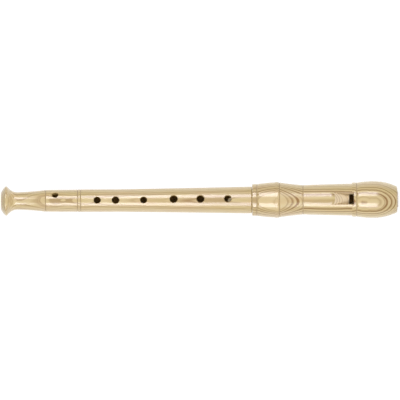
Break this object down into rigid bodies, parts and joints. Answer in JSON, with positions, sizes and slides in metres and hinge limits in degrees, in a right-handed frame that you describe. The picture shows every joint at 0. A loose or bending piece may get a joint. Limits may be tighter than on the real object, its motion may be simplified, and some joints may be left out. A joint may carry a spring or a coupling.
{
  "type": "soprano recorder",
  "caption": "Wooden soprano recorder with a turned body, finger and thumb holes, a head with window and beak, a corked tenon and a windway block.",
  "frame": {"origin": "on the axis of the bore, at the end of the foot", "axes": "+X along the bore from the foot to the beak, +Z out of the finger holes and the window, +Y to the side that the little finger's hole leans to"},
  "size_m": [0.3235, 0.03, 0.0298],
  "materials": {
    "lacquered_wood": "satin lacquer over a pale straw wood with clear growth rings",
    "cedar": "bare red cedar",
    "cork": "bare cork"
  },
  "bodies": {
    "body": {"body_joint": "lacquered_wood"},
    "cork": {"tenon_cork": "cork"},
    "head": {"head_joint": "lacquered_wood"},
    "block": {"windway_block": "cedar"}
  },
  "joints": [
    {"name": "head_turn", "type": "hinge", "parent": "body", "child": "cork", "pos_m": [0.215, 0, 0], "axis": [1, 0, 0], "continuous": true},
    {"name": "head_pull", "type": "slide", "parent": "cork", "child": "head", "axis": [1, 0, 0], "range_m": [0, 0.026]},
    {"name": "block_slide", "type": "slide", "parent": "head", "child": "block", "axis": [1, 0, 0], "range_m": [0, 0.042]}
  ]
}
